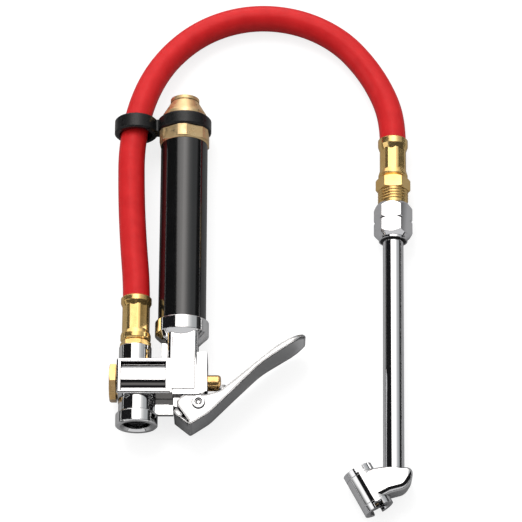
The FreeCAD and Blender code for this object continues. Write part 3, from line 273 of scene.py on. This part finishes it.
def brassFinish(name, settings):
    roughness = settings["roughness"]
    finish, tree, shader = startFinish(name, settings["light"], settings["metallic"], roughness)
    edge = useGroup(tree, "softEdge", Radius=settings["edge"])
    patches = useGroup(tree, "speckle", Scale=settings["patchScale"], Detail=wear["brassDetail"])
    metal = mixShades(tree, patches.outputs["Value"], settings["dark"], settings["light"])
    # painted shade: the base colour is darkened in hollows and between parts, where ambient occlusion
    # finds them
    corner = useGroup(tree, "crevice", Reach=settings["reach"])
    tint(tree, shader, corner.outputs["Open"], settings["paintedDark"], metal)
    rough = useGroup(tree, "speckle", Scale=settings["patchScale"] * wear["brassDullScale"],
                     Low=roughness * wear["brassClear"], High=roughness * wear["brassDull"])
    tree.links.new(rough.outputs["Value"], shader.inputs["Roughness"])
    marks = useGroup(tree, "toolMarks", Lines=settings["lines"])
    addBump(tree, shader, marks.outputs["Height"], settings["lineDepth"], edge.outputs["Normal"])
    return finish


def rubberFinish(name, settings):
    roughness = settings["roughness"]
    finish, tree, shader = startFinish(name, settings["light"], 0.0, roughness)
    shader.inputs["Specular IOR Level"].default_value = settings["specular"]
    patches = useGroup(tree, "speckle", Scale=settings["patchScale"], Detail=wear["rubberDetail"])
    tint(tree, shader, patches.outputs["Value"], settings["dark"], settings["light"])
    rough = useGroup(tree, "speckle", Scale=settings["grainScale"] * wear["rubberDullScale"],
                     Low=roughness - settings["spread"], High=roughness + settings["spread"])
    tree.links.new(rough.outputs["Value"], shader.inputs["Roughness"])
    edge = useGroup(tree, "softEdge", Radius=settings["edge"])
    grain = useGroup(tree, "speckle", Scale=settings["grainScale"], Detail=wear["grainDetail"])
    addBump(tree, shader, grain.outputs["Height"], settings["grainDepth"], edge.outputs["Normal"])
    return finish


# in each metal finish, the colour that hollows are darkened to is painted shade
finishes = {
    "castChrome": chromeFinish("castChrome", {
        "colour": (0.90, 0.90, 0.90), "paintedDark": (0.15, 0.15, 0.15), "roughness": 0.05,
        "edge": 0.45 * mm, "reach": 0.8 * mm, "patchScale": 60.0,
        "rippleScale": 70.0, "rippleDepth": 0.06 * mm}),
    # the lever's dark colour also paints dark reflections along its rims
    "leverChrome": chromeFinish("leverChrome", {
        "colour": (0.90, 0.90, 0.90), "paintedDark": (0.03, 0.03, 0.03), "roughness": 0.06,
        "edge": 1.6 * mm, "paintedRimLine": 2.6 * mm, "reach": 0.8 * mm, "patchScale": 60.0,
        "rippleScale": 120.0, "rippleDepth": 0.03 * mm}),
    # near-black steel: painted shade, for the thread inside the inlet and the screw's socket
    "paintedShadeSteel": chromeFinish("paintedShadeSteel", {
        "colour": (0.07, 0.07, 0.075), "paintedDark": (0.01, 0.01, 0.01), "roughness": 0.28,
        "edge": 0.1 * mm, "reach": 0.9 * mm, "patchScale": 300.0,
        "rippleScale": 400.0, "rippleDepth": 0.01 * mm}),
    "turnedChrome": chromeFinish("turnedChrome", {
        "colour": (0.88, 0.88, 0.89), "paintedDark": (0.05, 0.05, 0.05), "roughness": 0.04,
        "edge": 0.3 * mm, "reach": 0.8 * mm, "patchScale": 90.0,
        "rippleScale": 40.0, "rippleDepth": 0.01 * mm}),
    "springSteel": chromeFinish("springSteel", {
        "colour": (0.55, 0.55, 0.56), "paintedDark": (0.10, 0.10, 0.10), "roughness": 0.25,
        "edge": 0.1 * mm, "reach": 0.3 * mm, "patchScale": 300.0,
        "rippleScale": 200.0, "rippleDepth": 0.005 * mm}),
    "turnedBrass": brassFinish("turnedBrass", {
        "light": (0.82, 0.55, 0.25), "dark": (0.74, 0.46, 0.18), "paintedDark": (0.22, 0.12, 0.04),
        "metallic": 0.95, "roughness": 0.24, "edge": 0.3 * mm, "reach": 0.5 * mm,
        "patchScale": 180.0, "lines": 3500.0, "lineDepth": 0.012 * mm}),
    "capBrass": brassFinish("capBrass", {
        "light": (0.90, 0.67, 0.37), "dark": (0.82, 0.57, 0.28), "paintedDark": (0.30, 0.17, 0.07),
        "metallic": 0.85, "roughness": 0.36, "edge": 0.3 * mm, "reach": 0.5 * mm,
        "patchScale": 180.0, "lines": 3500.0, "lineDepth": 0.012 * mm}),
    "goldLacquer": brassFinish("goldLacquer", {
        "light": (0.96, 0.68, 0.28), "dark": (0.90, 0.58, 0.20), "paintedDark": (0.42, 0.24, 0.07),
        "metallic": 0.90, "roughness": 0.18, "edge": 0.4 * mm, "reach": 0.5 * mm,
        "patchScale": 120.0, "lines": 1500.0, "lineDepth": 0.01 * mm}),
    "barrelBlack": rubberFinish("barrelBlack", {
        "light": (0.006, 0.006, 0.0063), "dark": (0.004, 0.004, 0.0042),
        "roughness": 0.12, "spread": 0.02, "specular": 0.95, "edge": 0.3 * mm,
        "patchScale": 90.0, "grainScale": 3500.0, "grainDepth": 0.001 * mm}),
    "clipRubber": rubberFinish("clipRubber", {
        "light": (0.010, 0.010, 0.0105), "dark": (0.006, 0.006, 0.0063),
        "roughness": 0.30, "spread": 0.05, "specular": 0.40, "edge": 0.7 * mm,
        "patchScale": 200.0, "grainScale": 2500.0, "grainDepth": 0.02 * mm}),
    "hoseRubber": rubberFinish("hoseRubber", {
        "light": (0.68, 0.016, 0.018), "dark": (0.60, 0.011, 0.013),
        "roughness": 0.38, "spread": 0.05, "specular": 0.24, "edge": 0.1 * mm,
        "patchScale": 160.0, "grainScale": 2200.0, "grainDepth": 0.02 * mm}),
    "sealRubber": rubberFinish("sealRubber", {
        "light": (0.030, 0.030, 0.030), "dark": (0.018, 0.018, 0.018),
        "roughness": 0.55, "spread": 0.06, "specular": 0.4, "edge": 0.15 * mm,
        "patchScale": 300.0, "grainScale": 3000.0, "grainDepth": 0.01 * mm}),
    "barWhite": rubberFinish("barWhite", {
        "light": (0.82, 0.82, 0.79), "dark": (0.76, 0.76, 0.72),
        "roughness": 0.32, "spread": 0.05, "specular": 0.5, "edge": 0.2 * mm,
        "patchScale": 120.0, "grainScale": 2500.0, "grainDepth": 0.004 * mm}),
    "markBlack": rubberFinish("markBlack", {
        "light": (0.02, 0.02, 0.02), "dark": (0.012, 0.012, 0.012),
        "roughness": 0.5, "spread": 0.05, "specular": 0.3, "edge": 0.02 * mm,
        "patchScale": 500.0, "grainScale": 4000.0, "grainDepth": 0.002 * mm}),
}
print("finishes ready", len(finishes))


# Each finish and the CAD nodes that get it

nodeFinish = {
    "castChrome": ["valve_body", "chuck_body"],
    "leverChrome": ["lever"],
    "turnedChrome": ["coupling", "wand_tube", "front_ring", "rear_ring", "lever_screw", "lever_nut"],
    "capBrass": ["barrel_cap"],
    "turnedBrass": ["valve_plug", "plunger", "valve_poppet", "gauge_piston", "front_pin", "rear_pin"],
    "goldLacquer": ["outlet_fitting", "male_fitting", "lower_ferrule", "upper_ferrule"],
    "barrelBlack": ["gauge_barrel"],
    "clipRubber": ["hose_clip"],
    "hoseRubber": ["hose"],
    "sealRubber": ["barrel_gasket", "plug_washer", "poppet_face", "plunger_seal", "piston_cup",
                   "wand_seal", "front_washer", "rear_washer"],
    "springSteel": ["gauge_spring", "valve_spring", "chuck_spring"],
    "barWhite": ["indicator_bar"],
}
for finishName, nodeNames in nodeFinish.items():
    for nodeName in nodeNames:
        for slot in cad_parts[nodeName].material_slots:
            slot.material = finishes[finishName]
print("CAD nodes dressed")


# Pieces made here

weldWithin = 0.001 * mm


def addPiece(name, mesh, finish, body):
    piece = addObject(name, mesh)
    mesh.materials.append(finishes[finish])
    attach(piece, body)


def closeMesh(shape, name, smooth):
    bmesh.ops.remove_doubles(shape, verts=shape.verts, dist=weldWithin)
    rims = [edge for edge in shape.edges if edge.is_boundary]
    bmesh.ops.holes_fill(shape, edges=rims, sides=0)
    bmesh.ops.recalc_face_normals(shape, faces=shape.faces)
    for face in shape.faces:
        face.smooth = smooth
    mesh = bpy.data.meshes.new(name)
    shape.to_mesh(mesh)
    shape.free()
    return mesh


def loopEdges(shape, vertices):
    ring = set(vertices)
    return [edge for edge in shape.edges if edge.verts[0] in ring and edge.verts[1] in ring]


def newVertices(made):
    return [item for item in made if isinstance(item, bmesh.types.BMVert)]


def pullRing(shape, ring, drop):
    pulled = bmesh.ops.extrude_edge_only(shape, edges=loopEdges(shape, ring))["geom"]
    bmesh.ops.translate(shape, verts=newVertices(pulled), vec=(0, 0, -drop))


# Brass thread above the coupling, and the thread inside the air inlet

threadShape = {
    "crestFrom": 0.34,  # shares of the pitch
    "crestTo": 0.50,
    "foot": 0.84,
    "sections": 40,  # in each turn
}

fittingThread = {
    "origin": (61.6, 49.3, 8.6),
    "turn": -1.1,
    "root": 6.75,
    "crest": 7.2,
    "pitch": 1.42,
    "start": 0.25,
    "turns": 4.6,
}

portThread = {
    "origin": (-57.55, -62.6, 12.8),
    "turn": 0.0,
    "root": 6.35,
    "crest": 5.8,
    "pitch": 1.34,
    "start": 2.8,
    "turns": 4.6,
}


def cutThread(name, settings, finish):
    shape = bmesh.new()
    root, crest, pitch = settings["root"], settings["crest"], settings["pitch"]
    outline = [(root, 0.0), (crest, threadShape["crestFrom"] * pitch),
               (crest, threadShape["crestTo"] * pitch), (root, threadShape["foot"] * pitch)]
    corners = [shape.verts.new((r * mm, (settings["start"] + y) * mm, 0)) for r, y in outline]
    for first, second in zip(corners, corners[1:] + corners[:1]):
        shape.edges.new((first, second))
    steps = round(settings["turns"] * threadShape["sections"])
    rise = pitch / threadShape["sections"] * mm
    bmesh.ops.spin(shape, geom=shape.verts[:] + shape.edges[:], cent=(0, 0, 0), axis=(0, 1, 0),
                   dvec=(0, rise, 0), angle=2 * math.pi * settings["turns"], steps=steps,
                   use_merge=False)
    mesh = closeMesh(shape, name, True)
    mesh.transform(Matrix.Rotation(math.radians(settings["turn"]), 4, "Z"))
    mesh.transform(Matrix.Translation(Vector(settings["origin"]) * mm))
    addPiece(name, mesh, finish, "root")


cutThread("fittingThread", fittingThread, "goldLacquer")
# the inlet's thread is near black: painted shade inside the bore
cutThread("portThread", portThread, "paintedShadeSteel")
print("threads cut")


# Hexagon socket in the lever's screw

screwSocket = {
    "outer": 1.78,
    "hexCorner": 1.18,
    "below": 0.28,
    "floor": 0.88,
    "hexDepth": 0.55,
    "flatCuts": 7,  # in each flat, so that the rim and the hexagon have as many sides
}


def makeScrewSocket():
    low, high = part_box("lever_screw")
    shape = bmesh.new()
    sides = 6 * (screwSocket["flatCuts"] + 1)
    rim = bmesh.ops.create_circle(shape, segments=sides, radius=screwSocket["outer"] * mm)["verts"]
    hexagon = bmesh.ops.create_circle(shape, segments=6, radius=screwSocket["hexCorner"] * mm)["verts"]
    cut = bmesh.ops.subdivide_edges(shape, edges=loopEdges(shape, hexagon), cuts=screwSocket["flatCuts"])
    hexagon = hexagon + newVertices(cut["geom_inner"])
    bmesh.ops.bridge_loops(shape, edges=loopEdges(shape, rim) + loopEdges(shape, hexagon))
    pullRing(shape, hexagon, screwSocket["hexDepth"] * mm)
    pullRing(shape, rim, (screwSocket["floor"] - screwSocket["below"]) * mm)
    mesh = closeMesh(shape, "screwSocket", False)
    top = high[2] - screwSocket["below"] * mm
    middle = Vector(((low[0] + high[0]) / 2, (low[1] + high[1]) / 2, top))
    mesh.transform(Matrix.Translation(middle))
    # the socket is near black: painted shade in the recess
    addPiece("screwSocket", mesh, "paintedShadeSteel", "root")


makeScrewSocket()
print("screw socket made")


# Scale on two sides of the indicator bar, plain numbers only

barScale = {
    "perMark": 10,
    "marks": 22,
    "step": 2.3,
    "thick": 0.26,
    "short": 0.9,
    "long": 1.5,
    "edge": 2.15,
    "numberAt": -0.45,
    "numberSize": 1.75,
    "proud": 0.02,
}


def addMark(shape, width, height):
    mark = Matrix.Translation((-(barScale["edge"] - width / 2) * mm, height, 0))
    size = Matrix.Diagonal((width * mm, barScale["thick"] * mm, 2 * barScale["proud"] * mm, 1))
    bmesh.ops.create_cube(shape, size=1.0, matrix=mark @ size)


def addNumber(shape, value, height):
    words = bpy.data.curves.new("number", "FONT")
    words.body = str(value)
    words.size = barScale["numberSize"] * mm
    words.extrude = barScale["proud"] * mm
    words.align_y = "CENTER"
    writer = bpy.data.objects.new("number", words)
    mesh = bpy.data.meshes.new_from_object(writer)
    mesh.transform(Matrix.Translation((barScale["numberAt"] * mm, height, 0)))
    shape.from_mesh(mesh)
    bpy.data.objects.remove(writer)
    bpy.data.meshes.remove(mesh)


def makeScale(name, turn):
    low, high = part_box("indicator_bar")
    middle = [(a + b) / 2 for a, b in zip(low, high)]
    shape = bmesh.new()
    for count in range(1, barScale["marks"] + 1):
        height = -count * barScale["step"] * mm
        tall = count % 2 == 0
        addMark(shape, barScale["long"] if tall else barScale["short"], height)
        if tall:
            addNumber(shape, count * barScale["perMark"], height)
    mesh = closeMesh(shape, name, False)
    mesh.transform(Matrix.Translation((0, 0, (high[2] - low[2]) / 2)))
    mesh.transform(Matrix.Rotation(turn, 4, "Y"))
    mesh.transform(Matrix.Translation((middle[0], high[1], middle[2])))
    addPiece(name, mesh, "markBlack", "indicator_bar")


makeScale("barScaleFront", 0.0)
makeScale("barScaleBack", math.pi)
print("scale marked")


# Red hose, from the lower ferrule through the clip and round to the upper ferrule

hoseLine = {
    "radius": 6.3 * mm,
    "length": 293.0 * mm,
    "ringDetail": 10,
    "lengthDetail": 24,
    "order": 3,
    "points": [
        (-58.75, -2.575, 12.8), (-58.75, 6.8, 12.8), (-60.8, 28.6, 12.8), (-62.2, 52.0, 12.8),
        (-62.7, 80.5, 12.8), (-56.9, 107.8, 10.9), (-45.9, 129.1, 7.6), (-28.4, 144.8, 6.35),
        (-6.3, 152.0, 6.25), (16.8, 150.0, 6.25), (37.1, 139.6, 6.3), (50.8, 123.4, 6.45),
        (59.5, 105.6, 7.2), (62.389, 90.392, 8.6), (62.189, 79.969, 8.6),
    ],
}


def makeHose():
    line = bpy.data.curves.new("hoseLine", "CURVE")
    line.dimensions = "3D"
    line.bevel_depth = hoseLine["radius"]
    line.bevel_resolution = hoseLine["ringDetail"]
    line.resolution_u = hoseLine["lengthDetail"]
    line.use_fill_caps = True
    spline = line.splines.new("NURBS")
    spline.points.add(len(hoseLine["points"]) - 1)
    for point, place in zip(spline.points, hoseLine["points"]):
        point.co = (*(Vector(place) * mm), 1.0)
    spline.order_u = hoseLine["order"]
    spline.use_endpoint_u = True
    hose = addObject("redHose", line)
    line.materials.append(finishes["hoseRubber"])
    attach(hose, "root")
    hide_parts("hose")


makeHose()
print("hose laid")


# Floor and the card on it

ground = {
    "size": 6.0,
    "below": 0.05,
    "colour": (0.32, 0.32, 0.32),
    "glow": 0.80,
    "roughness": 0.9,
}

card = {
    "size": 0.9,
    "below": 0.03,
    "across": 0.135,  # half axes of the oval where the near shade ends
    "along": 0.20,
    "fadeFrom": 0.95,
    "fadeTo": 1.1,
    "near": (0.34, 0.34, 0.345),
    "far": (0.012, 0.012, 0.012),
    "roughness": 0.9,
}


def laySheet(name, finishName, settings, colour):
    shape = bmesh.new()
    bmesh.ops.create_grid(shape, x_segments=1, y_segments=1, size=settings["size"] / 2)
    mesh = bpy.data.meshes.new(name)
    shape.to_mesh(mesh)
    shape.free()
    mesh.transform(Matrix.Translation((0, 0, -settings["below"] * mm)))
    finish, tree, shader = startFinish(finishName, colour, 0.0, settings["roughness"])
    shader.inputs["Specular IOR Level"].default_value = 0.0
    mesh.materials.append(finish)
    return addObject(name, mesh), tree, shader


def makeFloor():
    # the ground shows near white to the camera and to the polished metal, and keeps the shadow
    floor, tree, shader = laySheet("floor", "floorPaper", ground, ground["colour"])
    path = tree.nodes.new("ShaderNodeLightPath")
    shader.inputs["Emission Color"].default_value = (1.0, 1.0, 1.0, 1.0)
    seen = calc(tree, "ADD", path.outputs["Is Camera Ray"], path.outputs["Is Glossy Ray"])
    seen = calc(tree, "ADD", seen, path.outputs["Is Transmission Ray"], clamp=True)
    glow = spread(tree, seen, 0.0, ground["glow"])
    tree.links.new(glow, shader.inputs["Emission Strength"])


def makeCard():
    # only the polished metal sees the card, a painted reflection of a shaded floor: grey near the tool,
    # dark further out
    sheet, tree, shader = laySheet("greyCard", "greyCard", card, card["near"])
    where = tree.nodes.new("ShaderNodeTexCoord")
    place = tree.nodes.new("ShaderNodeMapping")
    place.inputs["Scale"].default_value = (1 / card["across"], 1 / card["along"], 1.0)
    tree.links.new(where.outputs["Object"], place.inputs["Vector"])
    reach = vectorCalc(tree, "LENGTH", place.outputs["Vector"])
    outer = spread(tree, reach, 0.0, 1.0, card["fadeFrom"], card["fadeTo"])
    tint(tree, shader, outer, card["near"], card["far"])
    sheet.visible_camera = False
    sheet.visible_diffuse = False
    sheet.visible_shadow = False
    sheet.visible_transmission = False


# The room that the polished metal reflects. Its places are told by the x, y and z of a direction
# from the tool, where x runs to the right, y to the back and z up

room = {
    "peak": 2.7,
    "falloff": [  # the softbox's light, from the left at 0 to the right at 1
        (0.28, 0.54), (0.32, 0.59), (0.40, 0.75), (0.50, 0.96), (0.54, 1.0), (0.60, 0.83),
        (0.66, 0.57), (0.72, 0.35), (0.77, 0.26), (0.84, 0.17), (0.92, 0.15), (0.935, 0.01),
    ],
    "boxTint": (1.0, 0.97, 0.95),
    "rightTint": (0.95, 0.98, 1.0),
    "tintFrom": 0.3,
    "tintTo": 0.7,
    "leftRim": 0.95,  # how steeply the softbox's near rim runs back to each side
    "rightRim": 0.35,
    "frontRim": -0.02,
    "soft": 0.012,
    "horizon": 0.14,
    "lowEnd": 0.3,  # the x at which its light below the horizon has faded out
    "darkWall": (0.010, 0.010, 0.011),
    "frontWall": (0.62, 0.62, 0.63),
    "frontSlope": 1.3,
    "frontFrom": -0.26,
    "frontTo": -0.16,
    "sideBox": (1.1, 1.1, 1.1),
    "sideFrom": -0.66,
    "sideTo": -0.62,
    "sideHalf": 0.18,
    "sideFade": 0.24,
    "screen": (0.17, 0.163, 0.158),
    "screenAt": (0.0, -0.391, 0.921),
    "screenRim": 0.987,
    "screenCore": 1.0,
    "fillFront": 0.30,
    "fillBack": 1.0,
    "fillFrom": -0.6,
    "fillTo": 0.5,
    "backdrop": (1.0, 1.0, 1.0),
}


def overheadMask(tree, x, y, z):
    soft = room["soft"]
    leftRim = calc(tree, "MULTIPLY", x, room["leftRim"])
    rightRim = calc(tree, "MULTIPLY", x, -room["rightRim"])
    inside = calc(tree, "ADD", calc(tree, "MINIMUM", leftRim, rightRim), y)
    within = spread(tree, inside, 0.0, 1.0, room["frontRim"] - soft, room["frontRim"] + soft)
    above = spread(tree, z, 0.0, 1.0, room["horizon"] - soft, room["horizon"] + soft)
    leftSide = spread(tree, x, 1.0, 0.0, 0.0, room["lowEnd"])
    return calc(tree, "MULTIPLY", within, calc(tree, "MAXIMUM", above, leftSide))


def overheadLight(tree, x):
    across = spread(tree, x, 0.0, 1.0, -1.0, 1.0)
    level = calc(tree, "MULTIPLY", ramp(tree, across, room["falloff"]), room["peak"])
    cool = spread(tree, x, 0.0, 1.0, room["tintFrom"], room["tintTo"])
    bright = tree.nodes.new("ShaderNodeVectorMath")
    bright.operation = "SCALE"
    tree.links.new(mixShades(tree, cool, room["boxTint"], room["rightTint"]), bright.inputs[0])
    tree.links.new(level, bright.inputs["Scale"])
    return bright.outputs["Vector"]


def roomWalls(tree, direction, x, y, z):
    low = calc(tree, "ADD", calc(tree, "MULTIPLY", z, room["frontSlope"]), y)
    front = spread(tree, low, 1.0, 0.0, room["frontFrom"], room["frontTo"])
    walls = mixShades(tree, front, room["darkWall"], room["frontWall"])
    farLeft = spread(tree, x, 1.0, 0.0, room["sideFrom"], room["sideTo"])
    offset = calc(tree, "ABSOLUTE", y)
    middle = spread(tree, offset, 1.0, 0.0, room["sideHalf"], room["sideFade"])
    walls = mixShades(tree, calc(tree, "MULTIPLY", farLeft, middle), walls, room["sideBox"])
    closeness = vectorCalc(tree, "DOT_PRODUCT", direction, room["screenAt"])
    screen = spread(tree, closeness, 0.0, 1.0, room["screenRim"], room["screenCore"])
    return mixShades(tree, screen, walls, room["screen"])


def makeRoom():
    # polished metal sees a softbox overhead, a smaller one at the left, dark and grey walls and a
    # grey screen in front. Plain surfaces get an even light, and the camera sees the backdrop
    world = bpy.data.worlds.new("studio")
    bpy.context.scene.world = world
    world.use_nodes = True
    tree = world.node_tree
    direction = tree.nodes.new("ShaderNodeTexCoord").outputs["Generated"]
    parts = tree.nodes.new("ShaderNodeSeparateXYZ")
    tree.links.new(direction, parts.inputs[0])
    x, y, z = (parts.outputs[axis] for axis in "XYZ")
    walls = roomWalls(tree, direction, x, y, z)
    polished = mixShades(tree, overheadMask(tree, x, y, z), walls, overheadLight(tree, x))
    fill = spread(tree, y, room["fillFront"], room["fillBack"], room["fillFrom"], room["fillTo"])
    path = tree.nodes.new("ShaderNodeLightPath")
    shown = mixShades(tree, path.outputs["Is Glossy Ray"], fill, polished)
    shown = mixShades(tree, path.outputs["Is Camera Ray"], shown, room["backdrop"])
    tree.links.new(shown, tree.nodes["Background"].inputs["Color"])


# Lamps and camera

lamps = {
    "keyLamp": {"place": (-0.3, 0.75, 1.2), "size": (0.7, 0.7), "power": 8.0},
    "sideLamp": {"place": (-0.9, 0.0, 0.9), "size": (0.6, 0.8), "power": 1.5},
}

cameraSettings = {
    "target": (-0.95, 24.6, 0.0),
    "elevation": 67.0,
    "distance": 1135.0,
    "lens": 165.5,
    "sensor": 36.0,
    "nearest": 0.01,
    "furthest": 50.0,
}


def makeLamp(name, settings):
    lamp = bpy.data.lights.new(name, "AREA")
    lamp.shape = "RECTANGLE"
    lamp.size, lamp.size_y = settings["size"]
    lamp.energy = settings["power"]
    holder = addObject(name, lamp)
    holder.location = settings["place"]
    holder.rotation_euler = (-Vector(settings["place"])).to_track_quat("-Z", "Y").to_euler()
    holder.visible_glossy = False


def makeCamera():
    target = Vector(cameraSettings["target"]) * mm
    tilt = math.radians(cameraSettings["elevation"])
    back = Vector((0.0, -math.cos(tilt), math.sin(tilt)))
    lens = bpy.data.cameras.new("camera")
    lens.sensor_width = cameraSettings["sensor"]
    lens.lens = cameraSettings["lens"]
    lens.clip_start = cameraSettings["nearest"]
    lens.clip_end = cameraSettings["furthest"]
    camera = addObject("camera", lens)
    camera.location = target + back * cameraSettings["distance"] * mm
    camera.rotation_euler = (-back).to_track_quat("-Z", "Y").to_euler()
    bpy.context.scene.camera = camera


makeFloor()
makeCard()
makeRoom()
for lampName, lampSettings in lamps.items():
    makeLamp(lampName, lampSettings)
makeCamera()
bpy.context.scene.view_settings.view_transform = "Standard"
print("studio ready")
